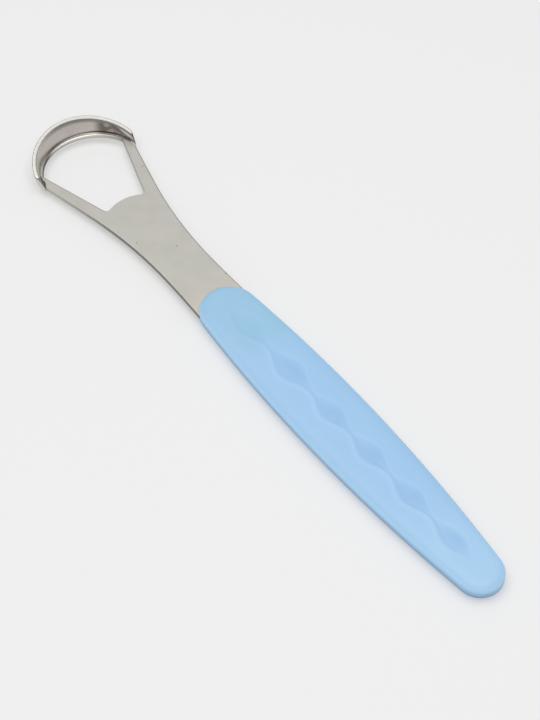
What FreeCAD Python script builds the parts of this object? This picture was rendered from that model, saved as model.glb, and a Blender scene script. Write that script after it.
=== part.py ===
# Tongue scraper: a stamped steel blade whose tip is turned up into a flared scraping wall, and a plastic grip
# moulded over the blade's tang. The long axis is X, from the grip's tail to the wall, and Z is up.
import FreeCAD, Part
import math
import os
import Sketcher

from FreeCAD import Placement, Rotation, Vector
from types import SimpleNamespace

doc = FreeCAD.newDocument("TongueScraper")
sheet = doc.addObject("Spreadsheet::Sheet", "Sizes")

# Driving sizes, in millimetres, degrees and counts
SIZES = [
    # The grip, seen from above and from the side
    ("handle_length", 96.6),
    ("handle_width", 16.6),
    ("handle_thickness", 4.6),
    ("side_radius", 395.0),
    ("widest_from_tail", 55.0),
    ("edge_land", 0.8),
    # The chain of dimples along the top of the grip: small ones from the tail, longer ones at the front
    ("chain_tail_margin", 6.6),
    ("chain_front_margin", 6.0),
    ("small_dimple_count", 4),
    ("small_dimple_width", 4.8),
    ("large_dimple_count", 2),
    ("large_dimple_width", 5.8),
    ("large_dimple_extra_length", 2.1),
    ("dimple_depth", 0.5),
    ("dimple_neck_depth", 0.06),
    # The steel sheet and the tang inside the grip
    ("sheet_thickness", 1.0),
    ("tang_width", 9.0),
    ("tail_cover", 14.0),
    ("lock_hole", 5.0),
    ("lock_hole_count", 3),
    ("mould_gap", 0.05),
    ("mouth_depth", 6.4),
    ("mouth_wall", 0.3),
    # The neck and the arms
    ("waist_ahead", 9.5),
    ("waist_draw_in", 0.41),
    ("neck_radius", 116.0),
    ("arm_angle", 13.5),
    ("arm_width", 2.35),
    ("arm_inner_angle", 17.2),
    # The window between the arms
    ("window_ledge", 0.4),
    ("window_length", 24.2),
    ("window_bump_radius", 9.0),
    ("window_corner_radius", 1.0),
    # The scraping wall
    ("wall_base_radius", 12.9),
    ("wall_half_angle", 83.0),
    ("wall_flare", 11.5),
    ("bend_radius", 0.5),
    ("rim_height", 4.6),
    ("wall_end_height", 1.8),
    ("wall_end_lean", 2.2),
    ("wall_end_step", 0.3),
    ("rim_land", 0.4),
]
for row, (name, value) in enumerate(SIZES, start=1):
    sheet.set("A%d" % row, name)
    sheet.set("B%d" % row, str(value))
    sheet.setAlias("B%d" % row, name)
doc.recompute()
size = SimpleNamespace(**{name: float(sheet.get(name)) for name, value in SIZES})

# The grip's bowed sides are arcs, and round ends meet both of them smoothly
side_centre_drop = size.side_radius - size.handle_width / 2


def end_radius(reach):
    """Radius of the round end whose tip lies reach away from the grip's widest place."""
    spare = size.side_radius**2 - reach**2 - side_centre_drop**2
    return spare / (2 * (size.side_radius - reach))


def side_half_width(x):
    """Half the grip's width at x from its tail."""
    return math.sqrt(size.side_radius**2 - (x - size.widest_from_tail) ** 2) - side_centre_drop


tail_radius = end_radius(size.widest_from_tail)
front_radius = end_radius(size.handle_length - size.widest_from_tail)

# The chain of dimples fills the grip's length between its margins
dimple_count = size.small_dimple_count + size.large_dimple_count
chain_length = size.handle_length - size.chain_tail_margin - size.chain_front_margin
small_dimple_length = (chain_length - size.large_dimple_count * size.large_dimple_extra_length) / dimple_count
large_dimple_length = small_dimple_length + size.large_dimple_extra_length

# The tang ends in shoulders just inside the grip's mouth, and its lock holes are spread evenly along it
shoulder_from_tail = size.handle_length - size.mouth_depth
shoulder_half = side_half_width(shoulder_from_tail) - size.mouth_wall
lock_hole_pitch = (shoulder_from_tail - size.tail_cover) / (size.lock_hole_count + 1)

# The wall's section, in radius from the head's centre and height from the middle of the sheet
half_sheet = size.sheet_thickness / 2
flare = math.radians(size.wall_flare)
bend_start = size.wall_base_radius - size.bend_radius * math.tan((math.pi / 2 - flare) / 2)
window_radius = bend_start - size.window_ledge
bend_centre = Vector(bend_start, half_sheet + size.bend_radius)
to_outside = Vector(math.cos(flare), -math.sin(flare))
inner_foot = bend_centre + to_outside * size.bend_radius
outer_foot = bend_centre + to_outside * (size.bend_radius + size.sheet_thickness)
rim_top = half_sheet + size.rim_height
inner_rim = Vector(inner_foot.x + (rim_top - inner_foot.y) * math.tan(flare), rim_top)
outer_rim = Vector(outer_foot.x + (rim_top - outer_foot.y) * math.tan(flare), rim_top)

# The arms run back from the wall's ends and bend into the waist of the neck, measured from the head's centre
arm_slope = math.radians(size.arm_angle)
wall_end = math.radians(size.wall_half_angle)
arm_end = Vector(bend_start * math.cos(wall_end), bend_start * math.sin(wall_end))
waist_half = shoulder_half - size.waist_draw_in
arm_meets_waist_line = arm_end.x - (arm_end.y - waist_half) / math.tan(arm_slope)
waist = Vector(arm_meets_waist_line - size.neck_radius * math.tan(arm_slope / 2), waist_half)
head_x = size.handle_length + size.waist_ahead - waist.x

# Behind its waist the neck widens again to the shoulders
widening_length = waist.x + head_x - shoulder_from_tail
back_radius = (widening_length**2 + size.waist_draw_in**2) / (2 * size.waist_draw_in)

# The part's origin is under the middle of its length, on the surface that the grip rests on
overall_length = head_x + outer_rim.x
tail_place = Vector(-overall_length / 2, 0, size.handle_thickness / 2)
head_place = tail_place + Vector(head_x, 0, 0)

# How a sketch names the spots of an edge, its X axis and its origin
START, END, CENTRE = range(1, 4)
AXIS_X = -1
ORIGIN = (AXIS_X, START)


def origin_feature(body, role):
    return next(feature for feature in body.Origin.OriginFeatures if feature.Role == role)


def new_sketch(body, name, plane):
    sketch = body.newObject("Sketcher::SketchObject", name)
    sketch.AttachmentSupport = [(origin_feature(body, plane), "")]
    sketch.MapMode = "FlatFace"
    return sketch


def line(sketch, start, end):
    return sketch.addGeometry(Part.LineSegment(start, end), False)


def arc(sketch, centre, start, end):
    """Arc about centre that runs counter-clockwise from start to end."""
    circle = Part.Circle(centre, Vector(0, 0, 1), centre.distanceToPoint(start))
    first = math.atan2(start.y - centre.y, start.x - centre.x)
    last = math.atan2(end.y - centre.y, end.x - centre.x)
    if last <= first:
        last += 2 * math.pi
    return sketch.addGeometry(Part.ArcOfCircle(circle, first, last), False)


def relate(sketch, kind, *parts):
    return sketch.addConstraint(Sketcher.Constraint(kind, *parts))


def bind(sketch, kind, *parts, to):
    """Add a dimension and tie it to a formula on the sheet."""
    index = relate(sketch, kind, *parts)
    sketch.setExpression("Constraints[%d]" % index, to)


def fix(sketch, edge, end, point):
    """Hold one end of an edge at a worked-out place."""
    relate(sketch, "DistanceX", *ORIGIN, edge, end, point.x)
    relate(sketch, "DistanceY", *ORIGIN, edge, end, point.y)


def draw_polygon(sketch, corners):
    """Draw a closed run of straight lines through worked-out corners."""
    edges = [line(sketch, start, end) for start, end in zip(corners, corners[1:] + corners[:1])]
    for edge, following in zip(edges, edges[1:] + edges[:1]):
        relate(sketch, "Coincident", edge, END, following, START)
    for edge, corner in zip(edges, corners):
        fix(sketch, edge, START, corner)


def mirrored(point):
    return Vector(point.x, -point.y)


def meet_circle(start, along, centre, radius):
    """Where a line, followed forwards, leaves a circle."""
    away = start - centre
    ahead = away.dot(along)
    return start + along * (math.sqrt(ahead**2 - away.dot(away) + radius**2) - ahead)


def cut_through(body, name, sketch):
    """Cut a sketch's shape out of the body, right through on both sides of its plane."""
    cut = body.newObject("PartDesign::Pocket", name)
    cut.Profile = sketch
    cut.SideType = "Symmetric"
    cut.Type = "ThroughAll"
    return cut


def repeat_along(body, feature, name, count, pitch):
    """Copy a cut along the X axis, with the count tied to the sheet."""
    pattern = body.newObject("PartDesign::LinearPattern", name)
    pattern.Originals = [feature]
    pattern.Direction = (origin_feature(body, "X_Axis"), [""])
    pattern.Mode = "Spacing"
    pattern.setExpression("Occurrences", count)
    pattern.Offset = pitch
    body.Tip = pattern


def round_edges(body, name, wanted, radius):
    """Round the edges of the body so far that the test wanted picks out."""
    doc.recompute()
    base = body.Tip
    chosen = ["Edge%d" % number for number, edge in enumerate(base.Shape.Edges, start=1) if wanted(edge)]
    fillet = body.newObject("PartDesign::Fillet", name)
    fillet.Base = (base, chosen)
    fillet.setExpression("Radius", radius)


def draw_tang(sketch, zero, gap):
    """Draw the tang, its shoulders and the back of the neck, a gap larger all round, with X counted from zero."""
    half = size.tang_width / 2 + gap
    round_centre = Vector(size.tail_cover + size.tang_width / 2 - zero, 0)
    tang_start = Vector(round_centre.x, half)
    neck_end = Vector(waist.x + head_x - zero, waist_half + gap)
    back_centre = neck_end + Vector(0, back_radius - gap)
    shoulder_in = Vector(shoulder_from_tail - gap - zero, half)
    back_rise = math.sqrt((back_radius - gap) ** 2 - (shoulder_in.x - back_centre.x) ** 2)
    shoulder_out = Vector(shoulder_in.x, back_centre.y - back_rise)

    tang_top = line(sketch, tang_start, shoulder_in)
    shoulder_top = line(sketch, shoulder_in, shoulder_out)
    back_top = arc(sketch, back_centre, shoulder_out, neck_end)
    back_low = arc(sketch, mirrored(back_centre), mirrored(neck_end), mirrored(shoulder_out))
    shoulder_low = line(sketch, mirrored(shoulder_in), mirrored(shoulder_out))
    tang_low = line(sketch, mirrored(tang_start), mirrored(shoulder_in))
    tang_end = arc(sketch, round_centre, tang_start, mirrored(tang_start))

    relate(sketch, "Coincident", tang_top, END, shoulder_top, START)
    relate(sketch, "Coincident", shoulder_top, END, back_top, START)
    relate(sketch, "Coincident", back_low, END, shoulder_low, END)
    relate(sketch, "Coincident", shoulder_low, START, tang_low, END)
    relate(sketch, "Tangent", tang_low, START, tang_end, END)
    relate(sketch, "Tangent", tang_end, START, tang_top, START)
    relate(sketch, "Horizontal", tang_top)
    relate(sketch, "Vertical", shoulder_top)
    relate(sketch, "Vertical", back_top, CENTRE, back_top, END)
    relate(sketch, "PointOnObject", tang_end, CENTRE, AXIS_X)
    relate(sketch, "Symmetric", shoulder_top, START, shoulder_low, START, AXIS_X)
    relate(sketch, "Symmetric", shoulder_top, END, shoulder_low, END, AXIS_X)
    relate(sketch, "Symmetric", back_top, END, back_low, START, AXIS_X)
    relate(sketch, "Equal", back_top, back_low)
    relate(sketch, "DistanceX", *ORIGIN, tang_end, CENTRE, round_centre.x)
    bind(sketch, "DistanceY", *ORIGIN, tang_top, START, half, to="Sizes.tang_width / 2 + %r" % gap)
    fix(sketch, shoulder_top, END, shoulder_out)
    fix(sketch, back_top, END, neck_end)
    return back_top, back_low


def draw_lock_hole(sketch, zero, index, gap):
    """Draw the circle of one lock hole, a gap smaller all round."""
    centre = Vector(size.tail_cover + (index + 1) * lock_hole_pitch - zero, 0)
    circle = sketch.addGeometry(Part.Circle(centre, Vector(0, 0, 1), size.lock_hole / 2 - gap), False)
    relate(sketch, "PointOnObject", circle, CENTRE, AXIS_X)
    relate(sketch, "DistanceX", *ORIGIN, circle, CENTRE, centre.x)
    bind(sketch, "Radius", circle, size.lock_hole / 2 - gap, to="Sizes.lock_hole / 2 - %r" % gap)


def blank_outline(body):
    """Outline of the flat blank: tang, waisted neck, arms, and the ring that the wall is bent up from."""
    sketch = new_sketch(body, "BlankOutline", "XY_Plane")
    neck_centre = waist + Vector(0, size.neck_radius)
    arm_start = neck_centre + Vector(math.sin(arm_slope), -math.cos(arm_slope)) * size.neck_radius

    back_top, back_low = draw_tang(sketch, head_x, 0.0)
    neck_top = arc(sketch, neck_centre, waist, arm_start)
    arm_top = line(sketch, arm_start, arm_end)
    ring = arc(sketch, Vector(0, 0), mirrored(arm_end), arm_end)
    arm_low = line(sketch, mirrored(arm_start), mirrored(arm_end))
    neck_low = arc(sketch, mirrored(neck_centre), mirrored(arm_start), mirrored(waist))

    relate(sketch, "Coincident", back_top, END, neck_top, START)
    relate(sketch, "Tangent", neck_top, END, arm_top, START)
    relate(sketch, "Coincident", arm_top, END, ring, END)
    relate(sketch, "Coincident", ring, START, arm_low, END)
    relate(sketch, "Tangent", arm_low, START, neck_low, START)
    relate(sketch, "Coincident", neck_low, END, back_low, START)
    relate(sketch, "Coincident", ring, CENTRE, *ORIGIN)
    relate(sketch, "Symmetric", ring, START, ring, END, AXIS_X)
    relate(sketch, "Equal", neck_top, neck_low)
    relate(sketch, "Vertical", neck_top, CENTRE, neck_top, START)
    relate(sketch, "Vertical", neck_low, CENTRE, neck_low, END)
    bind(sketch, "Radius", neck_top, size.neck_radius, to="Sizes.neck_radius")
    fix(sketch, ring, END, arm_end)
    return sketch


def window_outline(body):
    """Outline of the window: round at the wall, straight along the arms, a bump with soft corners at the neck."""
    sketch = new_sketch(body, "WindowOutline", "XY_Plane")
    slope = math.radians(size.arm_inner_angle)
    along = Vector(math.cos(slope), math.sin(slope))
    inward = Vector(math.sin(slope), -math.cos(slope))
    arm_edge = arm_end + inward * size.arm_width
    far_corner = meet_circle(arm_edge, along, Vector(0, 0), window_radius)
    bump_centre = Vector(window_radius - size.window_length - size.window_bump_radius, 0)
    centre_gap = size.window_bump_radius + size.window_corner_radius
    corner_line = arm_edge + inward * size.window_corner_radius
    corner_centre = meet_circle(corner_line, along, bump_centre, centre_gap)
    near_corner = corner_centre - inward * size.window_corner_radius
    bump_end = bump_centre + (corner_centre - bump_centre) * (size.window_bump_radius / centre_gap)

    far = arc(sketch, Vector(0, 0), mirrored(far_corner), far_corner)
    top = line(sketch, near_corner, far_corner)
    top_corner = arc(sketch, corner_centre, near_corner, bump_end)
    bump = arc(sketch, bump_centre, mirrored(bump_end), bump_end)
    low_corner = arc(sketch, mirrored(corner_centre), mirrored(bump_end), mirrored(near_corner))
    low = line(sketch, mirrored(near_corner), mirrored(far_corner))

    relate(sketch, "Coincident", far, CENTRE, *ORIGIN)
    relate(sketch, "Coincident", top, END, far, END)
    relate(sketch, "Coincident", low, END, far, START)
    relate(sketch, "Tangent", top, START, top_corner, START)
    relate(sketch, "Tangent", top_corner, END, bump, END)
    relate(sketch, "Tangent", low, START, low_corner, END)
    relate(sketch, "Tangent", low_corner, START, bump, START)
    relate(sketch, "Symmetric", far, START, far, END, AXIS_X)
    relate(sketch, "Symmetric", top, START, low, START, AXIS_X)
    relate(sketch, "PointOnObject", bump, CENTRE, AXIS_X)
    relate(sketch, "DistanceX", *ORIGIN, bump, CENTRE, bump_centre.x)
    relate(sketch, "DistanceX", *ORIGIN, far, END, far_corner.x)
    bind(sketch, "Angle", top, slope, to="Sizes.arm_inner_angle * 1 deg")
    relate(sketch, "Radius", far, window_radius)
    bind(sketch, "Radius", bump, size.window_bump_radius, to="Sizes.window_bump_radius")
    bind(sketch, "Radius", top_corner, size.window_corner_radius, to="Sizes.window_corner_radius")
    return sketch


def wall_section(body):
    """Section of the wall: the sheet bends up from the ring and leans outwards to the rim."""
    sketch = new_sketch(body, "WallSection", "XZ_Plane")
    low_start = Vector(bend_start, -half_sheet)
    top_start = Vector(bend_start, half_sheet)
    under = arc(sketch, bend_centre, low_start, outer_foot)
    outside = line(sketch, outer_foot, outer_rim)
    rim = line(sketch, outer_rim, inner_rim)
    inside = line(sketch, inner_rim, inner_foot)
    over = arc(sketch, bend_centre, top_start, inner_foot)
    seam = line(sketch, top_start, low_start)

    relate(sketch, "Tangent", under, END, outside, START)
    relate(sketch, "Coincident", outside, END, rim, START)
    relate(sketch, "Coincident", rim, END, inside, START)
    relate(sketch, "Tangent", inside, END, over, END)
    relate(sketch, "Coincident", over, START, seam, START)
    relate(sketch, "Coincident", seam, END, under, START)
    relate(sketch, "Coincident", over, CENTRE, under, CENTRE)
    relate(sketch, "Horizontal", rim)
    relate(sketch, "Vertical", seam)
    relate(sketch, "Vertical", over, CENTRE, over, START)
    bind(sketch, "Radius", over, size.bend_radius, to="Sizes.bend_radius")
    bind(sketch, "DistanceY", seam, END, seam, START, size.sheet_thickness, to="Sizes.sheet_thickness")
    bind(sketch, "DistanceY", *ORIGIN, seam, START, half_sheet, to="Sizes.sheet_thickness / 2")
    bind(sketch, "DistanceY", seam, START, rim, START, size.rim_height, to="Sizes.rim_height")
    relate(sketch, "DistanceX", *ORIGIN, seam, START, bend_start)
    bind(sketch, "Angle", outside, math.pi / 2 - flare, to="(90 - Sizes.wall_flare) * 1 deg")
    relate(sketch, "Parallel", outside, inside)
    return sketch


def rim_trim(body):
    """Side view of what is cut off above the wall: its rim slopes down to two low, leaning ends."""
    sketch = new_sketch(body, "RimTrim", "XZ_Plane")
    end_foot = Vector(arm_end.x, half_sheet)
    end_top = end_foot + Vector(size.wall_end_lean, size.wall_end_height)
    clear_top = rim_top + size.rim_height
    clear_back = arm_end.x - size.wall_base_radius
    corners = [
        end_foot,
        end_top,
        outer_rim,
        Vector(outer_rim.x, clear_top),
        Vector(clear_back, clear_top),
        Vector(clear_back, half_sheet),
    ]
    draw_polygon(sketch, corners)
    return sketch


def end_trim(body):
    """Plan of what is ground off the wall's ends, which then stand only a small step proud of the arms."""
    sketch = new_sketch(body, "EndTrim", "XY_Plane")
    along = Vector(math.cos(arm_slope), math.sin(arm_slope))
    beside_arm = arm_end + Vector(-along.y, along.x) * size.wall_end_step
    clear_of_wall = meet_circle(beside_arm, along, Vector(0, 0), outer_rim.x)
    corners = [
        beside_arm,
        clear_of_wall,
        Vector(clear_of_wall.x, outer_rim.x),
        Vector(beside_arm.x, outer_rim.x),
    ]
    draw_polygon(sketch, corners)
    draw_polygon(sketch, [mirrored(corner) for corner in corners])
    return sketch


def on_trimmed_rim(edge):
    """True for the two long edges of the rim's sloping face."""
    slope = (size.rim_height - size.wall_end_height) / (outer_rim.x - arm_end.x - size.wall_end_lean)
    start = edge.Vertexes[0].Point
    end = edge.Vertexes[-1].Point
    above = [point.z - outer_rim.y + (outer_rim.x - point.x) * slope for point in (start, end)]
    return max(map(abs, above)) < size.mould_gap and edge.Length > window_radius


def make_blade():
    """The blade: a flat blank with window and lock holes, and the wall that is bent up and trimmed."""
    body = doc.addObject("PartDesign::Body", "ScraperBlade")
    body.Label = "scraper_blade"
    outline = blank_outline(body)
    blank = body.newObject("PartDesign::Pad", "Blank")
    blank.Profile = outline
    blank.SideType = "Symmetric"
    blank.setExpression("Length", "Sizes.sheet_thickness")
    cut_through(body, "Window", window_outline(body))

    hole = new_sketch(body, "LockHole", "XY_Plane")
    draw_lock_hole(hole, head_x, 0, 0.0)
    holes = cut_through(body, "LockHoleCut", hole)
    repeat_along(body, holes, "LockHoles", "Sizes.lock_hole_count", lock_hole_pitch)

    section = wall_section(body)
    wall = body.newObject("PartDesign::Revolution", "Wall")
    wall.Profile = section
    wall.ReferenceAxis = (section, ["V_Axis"])
    wall.Midplane = True
    wall.setExpression("Angle", "2 * Sizes.wall_half_angle")
    cut_through(body, "SlopingRim", rim_trim(body))
    round_edges(body, "RoundRim", on_trimmed_rim, "(Sizes.sheet_thickness - Sizes.rim_land) / 2")
    cut_through(body, "FlushEnds", end_trim(body))
    body.Placement = Placement(head_place, Rotation())
    return body


def grip_outline(body):
    """Outline of the grip: two bowed sides and two round ends that meet them smoothly."""
    sketch = new_sketch(body, "GripOutline", "XY_Plane")
    tail_centre = Vector(tail_radius, 0)
    front_centre = Vector(size.handle_length - front_radius, 0)
    side_centre = Vector(size.widest_from_tail, -side_centre_drop)
    to_tail = (tail_centre - side_centre) * (1 / (size.side_radius - tail_radius))
    to_front = (front_centre - side_centre) * (1 / (size.side_radius - front_radius))
    tail_meet = side_centre + to_tail * size.side_radius
    front_meet = side_centre + to_front * size.side_radius

    tail = arc(sketch, tail_centre, tail_meet, mirrored(tail_meet))
    top = arc(sketch, side_centre, front_meet, tail_meet)
    low = arc(sketch, mirrored(side_centre), mirrored(tail_meet), mirrored(front_meet))
    front = arc(sketch, front_centre, mirrored(front_meet), front_meet)
    front_tip = sketch.addGeometry(Part.Point(Vector(size.handle_length, 0)), True)
    widest = sketch.addGeometry(Part.Point(Vector(size.widest_from_tail, size.handle_width / 2)), True)

    relate(sketch, "Tangent", tail, START, top, END)
    relate(sketch, "Tangent", tail, END, low, START)
    relate(sketch, "Tangent", front, START, low, END)
    relate(sketch, "Tangent", front, END, top, START)
    relate(sketch, "Equal", top, low)
    relate(sketch, "PointOnObject", tail, CENTRE, AXIS_X)
    relate(sketch, "PointOnObject", front, CENTRE, AXIS_X)
    relate(sketch, "PointOnObject", *ORIGIN, tail)
    relate(sketch, "PointOnObject", front_tip, START, AXIS_X)
    relate(sketch, "PointOnObject", front_tip, START, front)
    relate(sketch, "PointOnObject", widest, START, top)
    relate(sketch, "Vertical", widest, START, top, CENTRE)
    bind(sketch, "Radius", top, size.side_radius, to="Sizes.side_radius")
    bind(sketch, "DistanceX", *ORIGIN, front_tip, START, size.handle_length, to="Sizes.handle_length")
    bind(sketch, "DistanceX", *ORIGIN, widest, START, size.widest_from_tail, to="Sizes.widest_from_tail")
    bind(sketch, "DistanceY", *ORIGIN, widest, START, size.handle_width / 2, to="Sizes.handle_width / 2")
    return sketch


def tang_slot(body):
    """Outline of the slot for the tang, open at the mouth, with the plugs that fill the lock holes."""
    sketch = new_sketch(body, "TangSlot", "XY_Plane")
    back_top, back_low = draw_tang(sketch, 0.0, size.mould_gap)
    neck_end = Vector(waist.x + head_x, waist_half + size.mould_gap)
    mouth = line(sketch, neck_end, mirrored(neck_end))
    relate(sketch, "Coincident", back_top, END, mouth, START)
    relate(sketch, "Coincident", mouth, END, back_low, START)
    for index in range(int(size.lock_hole_count)):
        draw_lock_hole(sketch, 0.0, index, size.mould_gap)
    return sketch


def dimple_row(body, name, first_x, length, half_width):
    """Scoop a row of spindle-shaped dimples in the top of the grip, each turned about a line above it."""
    lift = (half_width**2 - size.dimple_depth**2) / (2 * size.dimple_depth)
    axis_height = size.handle_thickness / 2 + lift
    deep = -lift - size.dimple_depth
    shallow = -lift - size.dimple_neck_depth
    rise = (shallow - deep) / 2
    quarter = length / 4
    bow = (quarter**2 + rise**2) / (2 * rise)

    sketch = new_sketch(body, name.title() + "Dimple", "XZ_Plane")
    sketch.AttachmentOffset = Placement(Vector(first_x, axis_height, 0), Rotation())
    back_top = Vector(-length / 2, 0)
    front_top = Vector(length / 2, 0)
    back_neck = Vector(-length / 2, shallow)
    front_neck = Vector(length / 2, shallow)
    back_bend = Vector(-quarter, deep + rise)
    front_bend = Vector(quarter, deep + rise)
    axis = line(sketch, front_top, back_top)
    back = line(sketch, back_top, back_neck)
    back_arc = arc(sketch, back_neck - Vector(0, bow), back_bend, back_neck)
    belly = arc(sketch, Vector(0, deep + bow), back_bend, front_bend)
    front_arc = arc(sketch, front_neck - Vector(0, bow), front_neck, front_bend)
    front = line(sketch, front_neck, front_top)

    relate(sketch, "Coincident", axis, END, back, START)
    relate(sketch, "Coincident", back, END, back_arc, END)
    relate(sketch, "Tangent", back_arc, START, belly, START)
    relate(sketch, "Tangent", belly, END, front_arc, END)
    relate(sketch, "Coincident", front_arc, START, front, START)
    relate(sketch, "Coincident", front, END, axis, START)
    relate(sketch, "Horizontal", axis)
    relate(sketch, "Vertical", back)
    relate(sketch, "Vertical", front)
    relate(sketch, "Vertical", back_arc, CENTRE, back_arc, END)
    relate(sketch, "Vertical", front_arc, CENTRE, front_arc, START)
    relate(sketch, "DistanceY", *ORIGIN, back, END, shallow)
    relate(sketch, "DistanceX", *ORIGIN, axis, START, length / 2)
    fix(sketch, back, START, back_top)
    fix(sketch, belly, START, back_bend)
    fix(sketch, belly, END, front_bend)

    scoop = body.newObject("PartDesign::Groove", name.title() + "DimpleCut")
    scoop.Profile = sketch
    scoop.ReferenceAxis = (sketch, ["H_Axis"])
    scoop.Angle = 360
    repeat_along(body, scoop, name.title() + "Dimples", "Sizes.%s_dimple_count" % name, length)


def make_handle():
    """The grip: a rounded slab with a slot for the tang and a chain of dimples on its top."""
    body = doc.addObject("PartDesign::Body", "Handle")
    body.Label = "handle"
    outline = grip_outline(body)
    slab = body.newObject("PartDesign::Pad", "Slab")
    slab.Profile = outline
    slab.SideType = "Symmetric"
    slab.setExpression("Length", "Sizes.handle_thickness")
    round_edges(
        body,
        "RoundEdges",
        lambda edge: edge.BoundBox.ZLength < size.mould_gap,
        "(Sizes.handle_thickness - Sizes.edge_land) / 2",
    )
    slot = tang_slot(body)
    cavity = body.newObject("PartDesign::Pocket", "TangCavity")
    cavity.Profile = slot
    cavity.SideType = "Symmetric"
    cavity.setExpression("Length", "Sizes.sheet_thickness + 2 * Sizes.mould_gap")
    small_start = size.chain_tail_margin
    large_start = small_start + size.small_dimple_count * small_dimple_length
    small_middle = small_start + small_dimple_length / 2
    large_middle = large_start + large_dimple_length / 2
    dimple_row(body, "small", small_middle, small_dimple_length, size.small_dimple_width / 2)
    dimple_row(body, "large", large_middle, large_dimple_length, size.large_dimple_width / 2)
    body.Placement = Placement(tail_place, Rotation())
    return body


bodies = [make_blade(), make_handle()]
doc.recompute()

# Every feature has to be sound, and every cut has to take material away, before anything is written
for thing in doc.Objects:
    if "Invalid" in thing.State or "Error" in thing.State:
        raise RuntimeError("%s failed: %s" % (thing.Name, thing.State))
for body in bodies:
    if body.Shape.isNull() or not body.Shape.isValid() or len(body.Shape.Solids) != 1:
        raise RuntimeError(body.Label + " is not one sound solid")
    steps = [step for step in body.Group if hasattr(step, "BaseFeature")]
    for before, after in zip(steps, steps[1:]):
        repeats = getattr(after, "Occurrences", 1) > 1
        cuts = repeats or after.TypeId in ("PartDesign::Pocket", "PartDesign::Groove")
        if cuts and after.Shape.Volume >= before.Shape.Volume:
            raise RuntimeError(after.Name + " removes nothing")

os.makedirs("parts", exist_ok=True)
for body in bodies:
    box = body.Shape.BoundBox
    print(body.Label, "volume %.1f mm3" % body.Shape.Volume)
    print("  X %.2f to %.2f, Y %.2f to %.2f" % (box.XMin, box.XMax, box.YMin, box.YMax))
    print("  Z %.2f to %.2f" % (box.ZMin, box.ZMax))
    body.Shape.exportStep("parts/%s.step" % body.Label)
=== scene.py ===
# %% [markdown]
# # A tongue scraper
#
# The tool has two pieces: a blade stamped from one sheet of steel, and a soft blue grip moulded over its
# tang. The solids come from the packed frame, so every size and place is settled before this lesson starts.
# Here both pieces get finer meshes, with softened edges and a smooth wall, and then their finishes, the
# light and the camera.

# %% Load the frame and note its box
import math

import bmesh
import bpy
from mathutils import Matrix, Vector


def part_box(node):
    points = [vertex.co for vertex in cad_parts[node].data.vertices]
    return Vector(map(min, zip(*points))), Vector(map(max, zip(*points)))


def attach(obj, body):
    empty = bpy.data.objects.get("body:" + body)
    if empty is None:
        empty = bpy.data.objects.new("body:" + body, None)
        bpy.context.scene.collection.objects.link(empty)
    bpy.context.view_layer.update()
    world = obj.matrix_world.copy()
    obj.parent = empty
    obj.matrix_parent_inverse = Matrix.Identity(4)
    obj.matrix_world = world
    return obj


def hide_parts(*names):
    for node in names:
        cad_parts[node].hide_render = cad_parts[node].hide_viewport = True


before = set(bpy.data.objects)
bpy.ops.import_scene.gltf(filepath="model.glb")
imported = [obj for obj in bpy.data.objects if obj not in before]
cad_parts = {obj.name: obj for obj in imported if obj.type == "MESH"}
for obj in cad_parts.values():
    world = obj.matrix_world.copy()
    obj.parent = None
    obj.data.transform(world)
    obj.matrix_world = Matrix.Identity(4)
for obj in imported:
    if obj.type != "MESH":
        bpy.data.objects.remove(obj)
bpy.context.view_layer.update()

MM = 0.001
grip_low, grip_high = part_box("handle")
tail_x = grip_low[0] / MM
middle_z = (grip_low[2] + grip_high[2]) / 2 / MM
print("grip starts at x = %.2f mm, and its middle is %.2f mm up" % (tail_x, middle_z))

# %% [markdown]
# ## Drawing in plan
#
# Both pieces are flat shapes with a plan of lines and arcs, as a toolmaker would draw them. So two small
# helpers turn a line or an arc into evenly spaced points, and the grip and the blade share them. All drawing
# is in millimetres, from the grip's tail, with z = 0 in the middle of the sheet.

# %% Points along lines and arcs
STEP = 0.4


def along_line(start, end, step=STEP):
    count = max(1, math.ceil((end - start).length / step))
    return [start.lerp(end, index / count) for index in range(count + 1)]


def along_arc(centre, radius, first, last, step=STEP):
    """Points on an arc, from one angle to another, in radians."""
    count = max(2, math.ceil(abs(last - first) * radius / step))
    angles = [first + (last - first) * index / count for index in range(count + 1)]
    return [centre + Vector((math.cos(angle), math.sin(angle))) * radius for angle in angles]


def angle_of(point, centre):
    return math.atan2(point.y - centre.y, point.x - centre.x)


def joined(*runs):
    """One run of points from several, without the points where they meet twice."""
    points = list(runs[0])
    for run in runs[1:]:
        points += run[1:]
    return points


def mirrored(points):
    return [Vector((point.x, -point.y)) for point in reversed(points)]


print("drawing helpers ready; points are at most %.1f mm apart" % STEP)

# %% [markdown]
# A mesh is drawn as rows of corners. Each pair of rows is sewn together with faces, and the finished drawing
# is scaled to metres, moved into the frame and put in place of its solid.

# %% From rows of corners to a piece
drawing_to_frame = Matrix.Translation((tail_x * MM, 0, middle_z * MM)) @ Matrix.Scale(MM, 4)


def sew(drawing, low, high, closed=False):
    """Faces between two rows of corners."""
    for index in range(len(low) if closed else len(low) - 1):
        following = (index + 1) % len(low)
        drawing.faces.new((low[index], low[following], high[following], high[index]))


def new_piece(name, drawing, node):
    """A mesh object in metres that stands for a CAD node and rides on the one body."""
    mesh = bpy.data.meshes.new(name)
    drawing.transform(drawing_to_frame)
    drawing.to_mesh(mesh)
    drawing.free()
    piece = bpy.data.objects.new(name, mesh)
    bpy.context.collection.objects.link(piece)
    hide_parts(node)
    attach(piece, "root")
    return piece


print("the drawing's zero lies at", [round(value, 4) for value in drawing_to_frame.translation], "m")

# %% [markdown]
# ## The grip's form
#
# The grip is a slim pillow of soft plastic: bowed sides, round ends, and a top that rolls over into the
# sides. It could be a beveled box, but its ends would then pinch. Instead every point of its outline sends a
# rib inwards, square to the edge, to a spine along the middle, and each rib follows one rounded profile.

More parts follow.
